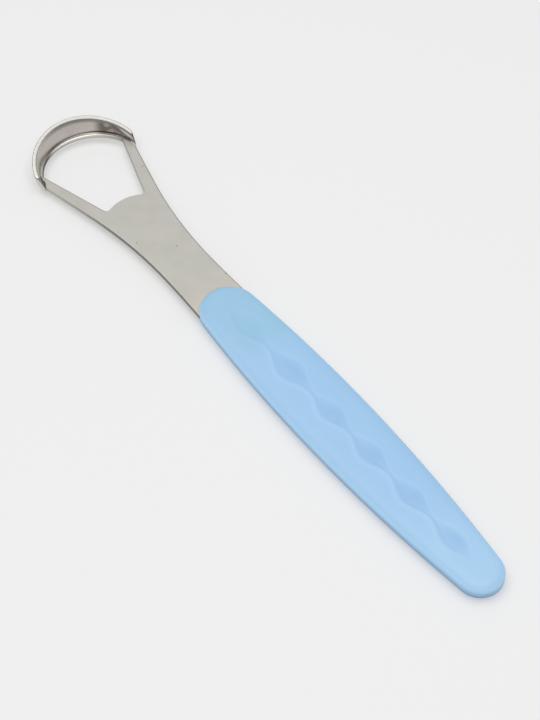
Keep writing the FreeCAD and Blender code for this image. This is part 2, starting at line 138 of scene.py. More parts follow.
# %% The grip's outline and spine
GRIP_LENGTH = 96.6
GRIP_WIDTH = 16.6
SIDE_RADIUS = 395.0
WIDEST_FROM_TAIL = 55.0

side_centre = Vector((WIDEST_FROM_TAIL, GRIP_WIDTH / 2 - SIDE_RADIUS))


def end_radius(reach):
    """Radius of the round end whose tip lies this far from the grip's widest place."""
    spare = SIDE_RADIUS**2 - reach**2 - side_centre.y**2
    return spare / (2 * (SIDE_RADIUS - reach))


tail_radius = end_radius(WIDEST_FROM_TAIL)
front_radius = end_radius(GRIP_LENGTH - WIDEST_FROM_TAIL)
tail_centre = Vector((tail_radius, 0))
front_centre = Vector((GRIP_LENGTH - front_radius, 0))
tail_angle = angle_of(tail_centre, side_centre)
front_angle = angle_of(front_centre, side_centre)
tail_run = along_arc(tail_centre, tail_radius, math.pi, tail_angle)
side_run = along_arc(side_centre, SIDE_RADIUS, tail_angle, front_angle)
front_run = along_arc(front_centre, front_radius, front_angle, 0)


def spine_foot(point):
    """Where the rib from this point of the outline meets the spine."""
    if point.x <= tail_run[-1].x:
        return tail_centre
    if point.x >= front_run[0].x:
        return front_centre
    share = side_centre.y / (side_centre.y - abs(point.y))
    return Vector((side_centre.x + (point.x - side_centre.x) * share, 0))


half_outline = joined(tail_run, side_run, front_run)
outline = half_outline + mirrored(half_outline)[1:-1]
print("grip outline:", len(outline), "points")
print("its round ends: %.2f and %.2f mm in radius" % (tail_radius, front_radius))

# %% [markdown]
# A chain of shallow scoops runs along the top, so that wet fingers don't slip. Each scoop is widest and
# deepest in its middle and almost closes at its ends, so the chain reads as a row of soft diamonds, and it
# fades out towards the tail and the mouth. A cosine along the chain and a smooth bowl across it give that
# shape without any edge, which a boolean cut would leave. Beside each scoop the plastic swells into a soft
# lip, which is broader on the near side.

# %% The chain of scoops
CHAIN_TAIL_MARGIN = 6.6
SMALL_SCOOPS = {"length": 13.3, "width": 4.8, "count": 4}
LARGE_SCOOPS = {"length": 15.4, "width": 5.8, "count": 2}
FRONT_DEPTH_SHARE = 0.75
NECK_WIDTH_SHARE = 0.17
NECK_DEPTH_SHARE = 0.26
BOWL_SOFTNESS = 1.3
NEAR_LIP = {"offset": 0.6, "breadth": 0.6, "rise": 0.95}
FAR_LIP = {"offset": 0.3, "breadth": 0.35, "rise": 0.5}

scoops = []
scoop_start = CHAIN_TAIL_MARGIN
for kind in (SMALL_SCOOPS, LARGE_SCOOPS):
    for _ in range(kind["count"]):
        scoops.append((scoop_start + kind["length"] / 2, kind["length"], kind["width"] / 2))
        scoop_start += kind["length"]
tail_middle = scoops[0][0]
front_middle = scoops[-1][0]


def scoop_and_lip(x, y):
    """How far a point of the top sinks, and how far it lies on the lip beside, as shares of the whole."""
    for middle, length, half_width in scoops:
        if abs(x - middle) <= length / 2:
            swell = math.cos(math.pi * (x - middle) / length) ** 2
            wide = half_width * (NECK_WIDTH_SHARE + (1 - NECK_WIDTH_SHARE) * swell)
            at_chain_end = x < tail_middle or x > front_middle
            least = 0.0 if at_chain_end else NECK_DEPTH_SHARE
            deep = least + (1 - least) * swell
            strong = FRONT_DEPTH_SHARE if middle == front_middle else 1.0
            bowl = (1 - min(1.0, abs(y) / wide) ** 2) ** BOWL_SOFTNESS
            side = NEAR_LIP if y > 0 else FAR_LIP
            past_lip = (abs(y) - wide - side["offset"]) / side["breadth"]
            lip = side["rise"] * math.exp(-(past_lip**2))
            return deep * strong * bowl, lip * strong * (swell if at_chain_end else 1.0)
    return 0.0, 0.0


print("scoops at", [round(middle, 1) for middle, length, half_width in scoops], "mm from the tail")

# %% [markdown]
# Each rib starts on the narrow land round the grip's edge, rolls over and runs nearly level to the spine. Its
# corners lie closest together at the edge, where it rises steeply. The rings close along the spine above and
# below, so the grip is one closed skin. The room for the tang inside isn't cut, because it never shows.

# %% Heights along a rib
GRIP_THICKNESS = 4.6
EDGE_LAND = 0.8
PILLOW = 6.0
SCOOP_DEPTH = 0.55
LIP_HEIGHT = 0.05
ROLL_SHARE = 0.22
ROUND_STEPS = 10
TOP_STEPS = 36

roll_height = (GRIP_THICKNESS - EDGE_LAND) / 2


def pillow_height(share):
    """Height above the land where the rib has run this share of its way to the spine."""
    return roll_height * math.sqrt(1 - (1 - share) ** PILLOW)


over_roll = [ROLL_SHARE * (index / ROUND_STEPS) ** 2 for index in range(ROUND_STEPS + 1)]
over_top = [ROLL_SHARE + (1 - ROLL_SHARE) * (index + 1) / TOP_STEPS for index in range(TOP_STEPS)]
rib_shares = over_roll + over_top
print("each rib has", len(rib_shares), "corners; the roll is %.2f mm high" % roll_height)

# %% The grip's mesh, in rings of ribs
GRIP_MERGE = 0.001
grip_drawing = bmesh.new()
scoop_layer = grip_drawing.verts.layers.float.new("scoop")
lip_layer = grip_drawing.verts.layers.float.new("lip")


def grip_ring(share, side):
    """One ring of corners round the grip, above (1) or below (-1) the middle."""
    ring = []
    for point in outline:
        place = point.lerp(spine_foot(point), share)
        sunk, lip = scoop_and_lip(place.x, place.y) if side > 0 else (0.0, 0.0)
        height = EDGE_LAND / 2 + pillow_height(share) - SCOOP_DEPTH * sunk + LIP_HEIGHT * lip
        corner = grip_drawing.verts.new((place.x, place.y, side * height))
        corner[scoop_layer] = sunk
        corner[lip_layer] = lip
        ring.append(corner)
    return ring


grip_rings = [grip_ring(share, -1) for share in reversed(rib_shares)]
grip_rings += [grip_ring(share, 1) for share in rib_shares]
for low, high in zip(grip_rings, grip_rings[1:]):
    sew(grip_drawing, low, high, closed=True)
bmesh.ops.remove_doubles(grip_drawing, verts=grip_drawing.verts, dist=GRIP_MERGE)
bmesh.ops.dissolve_degenerate(grip_drawing, edges=grip_drawing.edges, dist=GRIP_MERGE)
bmesh.ops.recalc_face_normals(grip_drawing, faces=grip_drawing.faces)
for face in grip_drawing.faces:
    face.smooth = True
print("grip mesh:", len(grip_drawing.faces), "faces")
grip = new_piece("dimpled_grip", grip_drawing, "handle")

# %% [markdown]
# ## The blade's plan
#
# The blank has a tang, a waisted neck and two arms around a window. The neck is drawn in arcs that meet
# smoothly, and the window is round at the wall, straight along the arms and bumped at the neck. Drawing it
# with arcs rather than a traced line keeps its edges clean in every reflection.

# %% Where the shoulders, the waist and the arms lie
SHEET = 1.0
MOUTH_DEPTH = 6.4
MOUTH_WALL = 0.3
WAIST_AHEAD = 9.5
WAIST_DRAW_IN = 0.41
NECK_RADIUS = 116.0
ARM_SLOPE = math.radians(13.5)
WALL_BASE_RADIUS = 12.9
WALL_END = math.radians(83.0)
FLARE = math.radians(11.5)
BEND_RADIUS = 0.5

half_sheet = SHEET / 2
bend_start = WALL_BASE_RADIUS - BEND_RADIUS * math.tan((math.pi / 2 - FLARE) / 2)
shoulder_x = GRIP_LENGTH - MOUTH_DEPTH
grip_side = math.sqrt(SIDE_RADIUS**2 - (shoulder_x - WIDEST_FROM_TAIL) ** 2) + side_centre.y
shoulder_half = grip_side - MOUTH_WALL
waist = Vector((GRIP_LENGTH + WAIST_AHEAD, shoulder_half - WAIST_DRAW_IN))
arm_end = Vector((math.cos(WALL_END), math.sin(WALL_END))) * bend_start
arm_run_x = (arm_end.y - waist.y) / math.tan(ARM_SLOPE)
head = Vector((waist.x + NECK_RADIUS * math.tan(ARM_SLOPE / 2) + arm_run_x - arm_end.x, 0))
arm_end = arm_end + head
print("head centre %.2f mm from the tail; arms end %.2f mm apart" % (head.x, 2 * arm_end.y))

# %% The blade's outline
TANG_WIDTH = 9.0
TAIL_COVER = 14.0

widening_length = waist.x - shoulder_x
back_radius = (widening_length**2 + WAIST_DRAW_IN**2) / (2 * WAIST_DRAW_IN)
back_centre = Vector((waist.x, waist.y + back_radius))
shoulder_in = Vector((shoulder_x, TANG_WIDTH / 2))
back_lean = math.asin((waist.x - shoulder_in.x) / back_radius)
back_run = along_arc(back_centre, back_radius, -math.pi / 2 - back_lean, -math.pi / 2)
nose_centre = Vector((TAIL_COVER + TANG_WIDTH / 2, 0))
nose_run = along_arc(nose_centre, TANG_WIDTH / 2, math.pi, math.pi / 2)
neck_centre = Vector((waist.x, waist.y + NECK_RADIUS))
neck_run = along_arc(neck_centre, NECK_RADIUS, -math.pi / 2, ARM_SLOPE - math.pi / 2)
blade_side = joined(
    nose_run,
    along_line(nose_run[-1], shoulder_in),
    along_line(shoulder_in, back_run[0]),
    back_run,
    neck_run,
    along_line(neck_run[-1], arm_end),
)
blade_path = joined(mirrored(blade_side), blade_side)
print("blade path:", len(blade_path), "points")

# %% The window's outline
ARM_WIDTH = 2.35
ARM_INNER_SLOPE = math.radians(17.2)
WINDOW_LEDGE = 0.4
WINDOW_LENGTH = 24.2
WINDOW_BUMP_RADIUS = 9.0
WINDOW_CORNER_RADIUS = 1.0
CORNER_STEP = 0.1

window_radius = bend_start - WINDOW_LEDGE
window_along = Vector((math.cos(ARM_INNER_SLOPE), math.sin(ARM_INNER_SLOPE)))
window_inward = Vector((math.sin(ARM_INNER_SLOPE), -math.cos(ARM_INNER_SLOPE)))


def meet_circle(start, direction, centre, radius):
    """Where a line, followed forwards, leaves a circle."""
    away = start - centre
    ahead = away.dot(direction)
    return start + direction * (math.sqrt(ahead**2 - away.dot(away) + radius**2) - ahead)


arm_edge = arm_end + window_inward * ARM_WIDTH
far_corner = meet_circle(arm_edge, window_along, head, window_radius)
bump_centre = head + Vector((window_radius - WINDOW_LENGTH - WINDOW_BUMP_RADIUS, 0))
centre_gap = WINDOW_BUMP_RADIUS + WINDOW_CORNER_RADIUS
corner_line = arm_edge + window_inward * WINDOW_CORNER_RADIUS
corner_centre = meet_circle(corner_line, window_along, bump_centre, centre_gap)
near_corner = corner_centre - window_inward * WINDOW_CORNER_RADIUS
bump_angle = angle_of(corner_centre, bump_centre)
arm_side_angle = ARM_INNER_SLOPE + math.pi / 2
half_window = joined(
    along_arc(bump_centre, WINDOW_BUMP_RADIUS, 0, bump_angle),
    along_arc(corner_centre, WINDOW_CORNER_RADIUS, bump_angle + math.pi, arm_side_angle, CORNER_STEP),
    along_line(near_corner, far_corner),
    along_arc(head, window_radius, angle_of(far_corner, head), 0),
)
window_path = half_window + mirrored(half_window)[1:-1]
print("window path:", len(window_path), "points")

# %% [markdown]
# ## The scraping wall
#
# The wall is bent up from the same sheet, so the blade is one skin. A curve could be swept round the head,
# but the rim slopes and both ends lean. So a section is worked out for each angle, in named runs from the
# ledge, over the rim and back underneath, and the sections are sewn into a grid. Narrow strips beside the
# bend keep its shade from spreading over the flat.

# %% Soft steps and rounded corners
RIM_STEPS = 5


def eased(value, zero_at, one_at):
    """A soft step from 0 to 1."""
    share = min(1.0, max(0.0, (value - zero_at) / (one_at - zero_at)))
    return share * share * (3 - 2 * share)


def soft_corner(before, corner, after, reach):
    """A rounded corner as a short curve that leaves both lines smoothly."""
    start = corner + (before - corner).normalized() * reach
    end = corner + (after - corner).normalized() * reach
    shares = [index / RIM_STEPS for index in range(RIM_STEPS + 1)]
    return [start.lerp(corner, share).lerp(corner.lerp(end, share), share) for share in shares]


print("half way up a soft step:", eased(0.5, 0, 1))

# %% The wall's section at any angle
RIM_HEIGHT = 4.6
WALL_END_HEIGHT = 1.8
WALL_END_LEAN = 2.2
RIM_ROUND = 0.3
BEND_STEPS = 6
WALL_STEPS = 12
LEDGE_STRIP = 0.08
STRIP_EDGE = 0.04
WEDGE_WIDTH = 0.3
WEDGE_STARTS = (0.83, 0.88)
WEDGE_ENDS = (0.92, 1.0)

bend_centre = Vector((bend_start, half_sheet + BEND_RADIUS))
rim_top = half_sheet + RIM_HEIGHT
lean_out = math.tan(FLARE)
foot_direction = Vector((math.cos(FLARE), -math.sin(FLARE)))
inner_foot = bend_centre + foot_direction * BEND_RADIUS
outer_foot = bend_centre + foot_direction * (BEND_RADIUS + SHEET)
outer_tip = outer_foot.x + (rim_top - outer_foot.y) * lean_out
end_x = arm_end.x - head.x
rim_slope = (RIM_HEIGHT - WALL_END_HEIGHT) / (outer_tip - end_x - WALL_END_LEAN)


def wedge(side_share):
    """How strong the shade is on the flat beside the near end of the wall."""
    return eased(side_share, *WEDGE_STARTS) * (1 - eased(side_share, *WEDGE_ENDS))


def rim_corner(foot, turn):
    """Where the wall's face from this foot meets the sloping rim, at an angle round the head."""
    pull = rim_slope * math.cos(turn)
    height = rim_top - rim_slope * outer_tip + pull * (foot.x - foot.y * lean_out)
    height = height / (1 - pull * lean_out)
    return Vector((foot.x + (height - foot.y) * lean_out, height))


def between(start, end):
    return [start.lerp(end, index / WALL_STEPS) for index in range(1, WALL_STEPS)]


def bend_run(radius, first, last):
    return along_arc(bend_centre, radius, first, last, radius / BEND_STEPS)


def wall_section(turn):
    """The section as radius and height, in named runs from the ledge over the rim to the underside."""
    inside = rim_corner(inner_foot, turn)
    outside = rim_corner(outer_foot, turn)
    over = bend_run(BEND_RADIUS, -math.pi / 2, -FLARE)
    under = bend_run(BEND_RADIUS + SHEET, -FLARE, -math.pi / 2)
    inner_rim = soft_corner(inner_foot, inside, outside, RIM_ROUND)
    outer_rim = soft_corner(inside, outside, outer_foot, RIM_ROUND)
    ledge = LEDGE_STRIP + WEDGE_WIDTH * wedge(turn / WALL_END)
    return {
        "flat": [Vector((bend_start - ledge - STRIP_EDGE, half_sheet))],
        "ledge": [Vector((bend_start - ledge, half_sheet))],
        "bend": over,
        "inside": between(over[-1], inner_rim[0]),
        "inner rim": inner_rim,
        "outer rim": outer_rim,
        "outside": between(outer_rim[-1], under[0]),
        "underside": under,
    }


print("wall section:", {name: len(run) for name, run in wall_section(0).items()})
print("rim tip %.2f mm from the tail" % (head.x + outer_tip))

# %% A place on the wall, up to its leaning end
WALL_END_STEP = 0.3
SETTLING_ROUNDS = 4


def ground_flush(place):
    """Pull a place that stands too far outside the arm's edge back to the ground face along the arm."""
    across = Vector((-math.sin(ARM_SLOPE), math.copysign(math.cos(ARM_SLOPE), place.y)))
    edge_at = Vector((arm_end.x, math.copysign(arm_end.y, place.y)))
    proud = (place.xy - edge_at).dot(across) - WALL_END_STEP
    if proud > 0:
        place.xy = place.xy - across * proud
    return place


def place_on_wall(run, row, side_share):
    """One point of a section's run, at a share of the way from the middle of the wall to its leaning end."""
    turn = side_share * WALL_END
    for _ in range(SETTLING_ROUNDS):
        spot = wall_section(turn)[run][row]
        forward = end_x + max(0.0, spot.y - half_sheet) * WALL_END_LEAN / WALL_END_HEIGHT
        turn = side_share * math.acos(forward / spot.x)
    return ground_flush(Vector((head.x + spot.x * math.cos(turn), spot.x * math.sin(turn), spot.y)))


print("near end of the rim:", [round(value, 2) for value in place_on_wall("outer rim", 0, 1.0)])

# %% [markdown]
# The steel isn't the same all over: the wall is polished inside, the bend lies in shade, and the rim is cut
# and catches the light. A finish can't know where that is, so each corner of the mesh gets four marks as it
# is made. They could be painted on by hand, but worked out they come out the same in every run. On the wall
# they follow two shares: how far up a run the corner lies, and how far it lies to the near (1) or the far
# side (-1). A pair of values says where a mark sets in and where it is full.

# %% The four marks
blade_drawing = bmesh.new()
polish_mark = blade_drawing.verts.layers.float.new("polish")
# Painted shade in the bend, beside the wall's ends and along the window's edge at the wall.
crease_shade_mark = blade_drawing.verts.layers.float.new("crease_shade")
# The cut mark holds the punched edges' dull tone, and also painted shade under the rim, on the wall's ground
# ends and along the far edge; with the lit mark it gives painted highlights.
cut_and_shade_mark = blade_drawing.verts.layers.float.new("cut")
lit_mark = blade_drawing.verts.layers.float.new("lit")
print("marks on the blade:", blade_drawing.verts.layers.float.keys())

# %% Marks for the shade in the bend
CREASE_NARROWS = 0.7
CREASE_FADES_NEAR = (0.2, 0.7)
CREASE_RETURNS_NEAR = (0.74, 0.82)
CREASE_CLIMBS_FAR = (0.15, 0.5)
HIGH_LINE = (0.1, 0.5)
HIGH_LINE_FADE = 0.5
HIGH_LINE_FADES = (0.6, 0.85)


def bend_shade(up_share, side_share):
    """A dark line low in the bend, which pales on the near side and climbs on the far one."""
    pale = eased(side_share, *CREASE_FADES_NEAR) - eased(side_share, *CREASE_RETURNS_NEAR)
    low_line = math.sqrt(max(0.0, 1 - up_share / (1 - CREASE_NARROWS * pale)))
    high_line = eased(up_share, *HIGH_LINE)
    high_line *= 1 - HIGH_LINE_FADE * eased(-side_share, *HIGH_LINE_FADES)
    climbs = eased(-side_share, *CREASE_CLIMBS_FAR)
    return (low_line + (high_line - low_line) * climbs) * (1 - pale)


print("shade low in the bend, in the middle of the wall:", bend_shade(0.0, 0.0))

# %% Marks on the wall
POLISH_FADES_NEAR = (0.45, 0.85)
POLISH_ENDS_FAR = 0.93
POLISH_LEAN_FAR = 0.14
POLISH_EDGE = 0.03
FAR_CORNER_REACH = 0.16
FAR_CORNER_HEIGHT = 0.6
FAR_CORNER_SHADE = 0.8
# Painted shade under the rim, and a painted highlight along the rim line and the lit corners.
RIM_SHADE = 0.75
RIM_SHADE_GROWS = (0.7, 0.9)
RIM_FADES_NEAR = (0.0, 0.6)
RIM_LIGHTENS = (0.6, 1.2)
RIM_LINE = 0.4
RIM_LINE_LEAST = 0.2
RIM_ROLLS_OVER = (0.0, 0.3)
OUTER_RIM_CUT = 0.85
# The wall's ground ends are painted dark: their own dull tone with painted shade.
END_CUT_SHADE = 0.8
END_RUNS = ("inside", "inner rim", "outer rim", "outside")


def mark_wall(corner, run, up_share, side_share):
    """Note how polished, shaded, cut or lit the steel is at this corner of the wall."""
    from_near = 1 - eased(side_share, *RIM_FADES_NEAR)
    far_line = POLISH_ENDS_FAR - (POLISH_LEAN_FAR * up_share if run == "inside" else 0.0)
    past_line = eased(-side_share, far_line - POLISH_EDGE, far_line)
    if run in ("bend", "inside"):
        corner[polish_mark] = 1 - max(eased(side_share, *POLISH_FADES_NEAR), past_line)
    if run == "ledge":
        corner[crease_shade_mark] = wedge(side_share)
    if run == "bend":
        corner[crease_shade_mark] = bend_shade(up_share, side_share)
    if run == "inside":
        corner[cut_and_shade_mark] = RIM_SHADE * from_near * eased(up_share, *RIM_SHADE_GROWS)
        to_line = eased(-side_share, far_line - FAR_CORNER_REACH, far_line - POLISH_EDGE)
        low = 1 - eased(up_share, 0.0, FAR_CORNER_HEIGHT)
        corner[crease_shade_mark] = FAR_CORNER_SHADE * to_line * (1 - past_line) * low
    if run == "inner rim":
        corner[cut_and_shade_mark] = RIM_SHADE * from_near
        corner[lit_mark] = eased(up_share, *RIM_LIGHTENS)
    if run == "outer rim":
        over = eased(up_share, *RIM_ROLLS_OVER)
        bright = RIM_LINE * (RIM_LINE_LEAST + (1 - RIM_LINE_LEAST) * from_near)
        corner[cut_and_shade_mark] = bright + (OUTER_RIM_CUT - bright) * over
        corner[lit_mark] = 1 - over
    # Painted shade on the ground ends.
    if abs(side_share) == 1 and run in END_RUNS:
        corner[cut_and_shade_mark] = END_CUT_SHADE
        corner[lit_mark] = 0.0


print("wall marks ready; the polish ends %.0f%% of the way to the far end" % (100 * POLISH_ENDS_FAR))

# %% The wall as a grid of sections
TURNS = 150
wall_rows = []
for run, spots in wall_section(0).items():
    for row in range(len(spots)):
        corners = []
        for index in range(TURNS + 1):
            side_share = 2 * index / TURNS - 1
            corner = blade_drawing.verts.new(place_on_wall(run, row, side_share))
            mark_wall(corner, run, row / len(spots), side_share)
            corners.append(corner)
        wall_rows.append(corners)
for low, high in zip(wall_rows, wall_rows[1:]):
    sew(blade_drawing, low, high)
print("wall grid:", len(wall_rows), "rows of", TURNS + 1, "corners")

# %% [markdown]
# ## The punched edges
#
# A punch rolls the edge of a sheet over a little, and that thin roll is what draws a line of light round the
# real blade. A bevel could make it, but it would also catch the wall. So a strip is rolled round each
# outline: the blade's own, the window and the lock holes in the tang. Its marks say where the edge is dull,
# where it catches the light and where it lies in shade.

# %% Marks on the edges
WINDOW_CUT = 0.4
ARM_CUT_FADE = 0.6
ARM_FADE = 24.0
CUT_FALL = 1.2
# Painted shade: a dark line along the blade's far edge.
FAR_EDGE_SHADE = 0.8
FAR_EDGE_FACES = (0.3, 0.8)
LEDGE_LIGHT = 0.8
# Painted shade on the window's edge beside the wall, on the near side, and a line under it.
NEAR_EDGE_DARKENS = (0.25, 0.6)
LOW_LINE_GROWS = (-0.6, 0.3)
WALL_SLACK = 0.01


def mark_edge(corner, point, inside, closed, side, angle):
    """Note how dull, bright or shaded the punched edge is at this corner."""
    facing_handle = max(0.0, inside.x)
    at_wall = closed and abs((point - head).length - window_radius) < WALL_SLACK
    to_near = point.y / window_radius
    # Painted shade on the window's edge where it meets the wall.
    near_wall_shade = at_wall * eased(to_near, *NEAR_EDGE_DARKENS)
    dulled = WINDOW_CUT
    if not closed:
        dulled = 1 - ARM_CUT_FADE * (1 - eased(arm_end.x - point.x, 0, ARM_FADE))
    # Painted shade: the dark line along the far edge.
    far_edge_shade = FAR_EDGE_SHADE * eased(inside.y, *FAR_EDGE_FACES) * (side > 0)
    dulled = max(dulled * math.cos(angle) ** CUT_FALL, far_edge_shade)
    # Painted highlight on the edges that face the handle.
    lit = facing_handle**2 * (side > 0)
    shaded = max(near_wall_shade, 1 - facing_handle) if side > 0 else eased(to_near, *LOW_LINE_GROWS)
    corner[cut_and_shade_mark] = max(dulled, LEDGE_LIGHT * lit * at_wall) * (1 - near_wall_shade)
    corner[lit_mark] = lit
    corner[crease_shade_mark] = at_wall * shaded


print("edge marks ready; the window's edge is dulled by", WINDOW_CUT)

# %% A rolled strip along an outline
EDGE_ROLL = 0.18
EDGE_STRIP = 0.08
ROLL_STEPS = 4


def inward_directions(points, closed):
    """The way into the sheet at each point of an outline that has the sheet on its left."""
    directions = []
    for index, point in enumerate(points):
        before = points[index - 1] if closed or index else point
        after = points[(index + 1) % len(points)] if closed or index < len(points) - 1 else point
        ahead = (after - before).normalized()
        directions.append(Vector((-ahead.y, ahead.x)))
    return directions


def edge_row(points, inward, fade, closed, side, angle):
    """One row of marked corners on the roll, at an angle up from the sheet's edge."""
    row = []
    for point, inside in zip(points, inward):
        roll = EDGE_ROLL * fade(point)
        place = point + inside * (roll * (1 - math.cos(angle)))
        height = side * (half_sheet - roll + roll * math.sin(angle))
        corner = blade_drawing.verts.new((place.x, place.y, height))
        mark_edge(corner, point, inside, closed, side, angle)
        row.append(corner)
    return row


def flat_row(points, inward, fade, side):
    """One row of plain corners on the flat, just inside the roll."""
    row = []
    for point, inside in zip(points, inward):
        place = point + inside * (EDGE_ROLL + EDGE_STRIP) * fade(point)
        row.append(blade_drawing.verts.new((place.x, place.y, side * half_sheet)))
    return row


def rolled_edge(points, closed, fade):
    """A strip round the sheet's edge, rolled over above and below, with a narrow flat band inside."""
    inward = inward_directions(points, closed)
    angles = [math.pi / 2 * (1 - index / ROLL_STEPS) for index in range(ROLL_STEPS + 1)]
    rows = []
    for side in (1, -1):
        half_rows = [flat_row(points, inward, fade, side)]
        half_rows += [edge_row(points, inward, fade, closed, side, angle) for angle in angles]
        rows += half_rows if side > 0 else reversed(half_rows)
    for low, high in zip(rows, rows[1:]):
        sew(blade_drawing, low, high, closed)


print("edge strip: %d rows to each side" % (ROLL_STEPS + 2))

# %% Rolled edges along every outline
ROLL_FADE = 0.8
LOCK_HOLE = 5.0
LOCK_HOLE_COUNT = 3
LOCK_HOLE_ROLL = 0.5


def blade_fade(point):
    """The roll fades out where the arms run into the wall."""
    return min(1.0, (arm_end.x - point.x) / ROLL_FADE)


rolled_edge(list(reversed(blade_path)), False, blade_fade)
rolled_edge(window_path, True, lambda point: 1.0)
hole_pitch = (shoulder_x - TAIL_COVER) / (LOCK_HOLE_COUNT + 1)
for number in range(LOCK_HOLE_COUNT):
    hole_centre = Vector((TAIL_COVER + (number + 1) * hole_pitch, 0))
    hole_path = along_arc(hole_centre, LOCK_HOLE / 2, 0, -2 * math.pi)[:-1]
    rolled_edge(hole_path, True, lambda point: LOCK_HOLE_ROLL)
print("blade strips:", len(blade_drawing.faces), "faces")

# %% [markdown]
# The flat faces are filled between the strips, and then the two small ends of the wall. Their edges stay
# sharp, as they are ground, and weighted normals keep the flats from shading towards the rolls.

# %% Fill the flat faces and the wall's ends
BLADE_MERGE = 0.002
LEVEL_SLACK = 0.001
bmesh.ops.remove_doubles(blade_drawing, verts=blade_drawing.verts, dist=BLADE_MERGE)
bmesh.ops.dissolve_degenerate(blade_drawing, edges=blade_drawing.edges, dist=BLADE_MERGE)
for level in (half_sheet, -half_sheet):
    rim_edges = [
        edge
        for edge in blade_drawing.edges
        if edge.is_boundary and all(abs(corner.co.z - level) < LEVEL_SLACK for corner in edge.verts)
    ]
    bmesh.ops.triangle_fill(blade_drawing, edges=rim_edges, use_beauty=True)
open_edges = [edge for edge in blade_drawing.edges if edge.is_boundary]
print("open edges left at the wall's two ends:", len(open_edges))
ends = bmesh.ops.holes_fill(blade_drawing, edges=open_edges, sides=0)["faces"]
bmesh.ops.recalc_face_normals(blade_drawing, faces=blade_drawing.faces)
for face in blade_drawing.faces:
    face.smooth = True
for face in ends:
    for edge in face.edges:
        edge.smooth = False
print("blade mesh:", len(blade_drawing.faces), "faces,", len(ends), "end faces")
blade = new_piece("stamped_blade", blade_drawing, "scraper_blade")
blade.modifiers.new("flat faces stay flat", "WEIGHTED_NORMAL").keep_sharp = True

# %% [markdown]
# ## Finishes as sums
#
# A finish is a net of nodes, and most of them only add and multiply masks. Wrapping a socket in a small class
# lets a mask be written as a plain sum, such as 1 - mask, and each operator adds its Math node. Every other
# node comes from one method, so the finishes below read as recipes.

# %% A wire that can be added and multiplied
class Wire:
    """One output of a node. Operators on wires add Math nodes."""

    def __init__(self, finish, socket):
        self.finish = finish
        self.socket = socket

    def maths(self, operation, first, second):
        return self.finish.node("ShaderNodeMath", {"operation": operation}, {0: first, 1: second})

    def __add__(self, other):
        return self.maths("ADD", self, other)

    def __radd__(self, other):
        return self.maths("ADD", other, self)

    def __sub__(self, other):
        return self.maths("SUBTRACT", self, other)

    def __rsub__(self, other):
        return self.maths("SUBTRACT", other, self)

    def __mul__(self, other):
        return self.maths("MULTIPLY", self, other)

    def __rmul__(self, other):
        return self.maths("MULTIPLY", other, self)


print("a wire knows:", sorted(name for name in vars(Wire) if name.endswith(("add__", "sub__", "mul__"))))

# %% A finish that is built node by node
class Finish:
    """A material and the few nodes that the recipes below are made of."""

    def __init__(self, name):
        self.material = bpy.data.materials.new(name)
        self.material.use_nodes = True
        self.tree = self.material.node_tree
        self.tree.nodes.clear()

    def node(self, kind, settings=None, sockets=None, out=0):
        """Any node: its type, its settings, and the values or wires of its sockets."""
        node = self.tree.nodes.new(kind)
        for key, value in (settings or {}).items():
            setattr(node, key, value)
        for key, value in (sockets or {}).items():
            if isinstance(value, Wire):
                self.tree.links.new(value.socket, node.inputs[key])
            else:
                node.inputs[key].default_value = value
        return Wire(self, node.outputs[out]) if node.outputs else None

    def mark(self, name):
        """A mark that was noted on the mesh."""
        return self.node("ShaderNodeAttribute", {"attribute_name": name}, out="Fac")

    def axis(self, vector, letter):
        return self.node("ShaderNodeSeparateXYZ", {}, {0: vector}, out=letter)

    def noise(self, place, scale, detail, roughness=0.5):
        sockets = {"Vector": place, "Scale": scale, "Detail": detail, "Roughness": roughness}
        return self.node("ShaderNodeTexNoise", {}, sockets)

    def mix(self, share, first, second):
        """One colour blended into another, through the colour sockets of the Mix node."""
        return self.node("ShaderNodeMix", {"data_type": "RGBA"}, {0: share, 6: first, 7: second}, out=2)

    def ramp(self, value, zero_at, one_at):
        """A soft step from 0 to 1."""
        sockets = {0: value, 1: zero_at, 2: one_at}
        return self.node("ShaderNodeMapRange", {"interpolation_type": "SMOOTHSTEP"}, sockets)

    def bump(self, height, strength, distance):
        return self.node("ShaderNodeBump", {}, {"Strength": strength, "Distance": distance, "Height": height})

    def close(self, sockets):
        """End the net with the one shader that both pieces use."""
        shader = self.node("ShaderNodeBsdfPrincipled", {}, sockets)
        self.node("ShaderNodeOutputMaterial", {}, {0: shader})

    def put_on(self, piece):
        piece.data.materials.clear()
        piece.data.materials.append(self.material)


def colour(red, green, blue):
    """A linear colour from the 0 to 255 numbers that a screen shows."""
    shown = [value / 255 for value in (red, green, blue)]
    linear = [value / 12.92 if value <= 0.04045 else ((value + 0.055) / 1.055) ** 2.4 for value in shown]
    return (*linear, 1.0)


print("finish helpers ready; mid grey is", round(colour(128, 128, 128)[0], 3))

# %% [markdown]
# ## The grip's finish
#
# The plastic is a soft, matte light blue. The scoops are painted a touch deeper, more on their far half, as
# painted shade for the sheen from above that they catch less of, and their lips get a painted highlight. The
# near side and the tail are painted a little lighter, the roll-over lighter still as painted sheen, and the
# low flank darker as painted shade. Near the mouth the steel inside greys it a little, because the plastic is
# thin there. All of the painted light and shade could be left to the lamps, but the plastic is so matte that
# the chain would hardly show. A fine grain from the mould keeps it from looking like paint.

